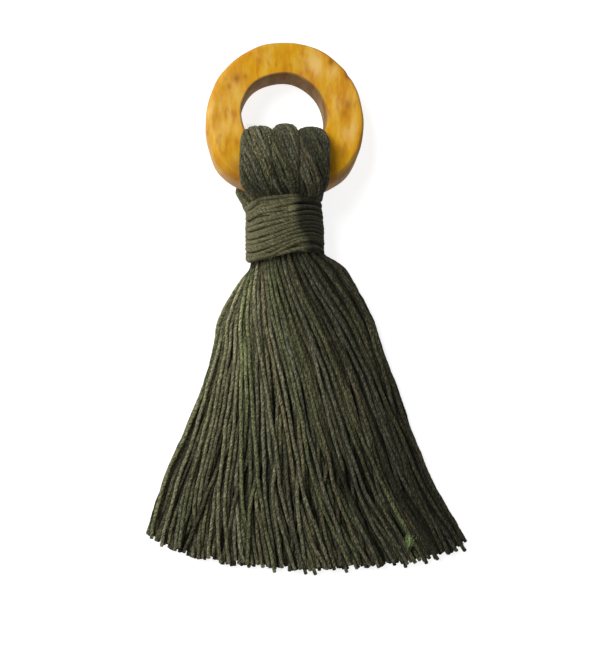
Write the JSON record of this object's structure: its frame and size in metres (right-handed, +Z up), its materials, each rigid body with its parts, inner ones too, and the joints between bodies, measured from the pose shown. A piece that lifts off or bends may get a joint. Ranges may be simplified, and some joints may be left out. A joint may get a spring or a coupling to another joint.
{
  "type": "tassel on wooden ring",
  "caption": "Yarn tassel folded over a round wooden ring and bound with a wound cord, lying on its back with its skirt fanned out.",
  "frame": {"origin": "on the surface it lies on, under the middle of the whole tassel's footprint", "axes": "+Z up from the surface, out of the tassel's front; +Y along the tassel from the skirt to the ring; +X to the right"},
  "size_m": [0.1032, 0.1698, 0.0259],
  "materials": {
    "wood": "satin varnish, worn",
    "yarn": "matte plied cotton",
    "binding_cord": "matte wound cotton"
  },
  "bodies": {
    "root": {"ring": "wood", "hank_left": "yarn", "hank_middle": "yarn", "hank_right": "yarn", "binding": "binding_cord"}
  },
  "joints": []
}
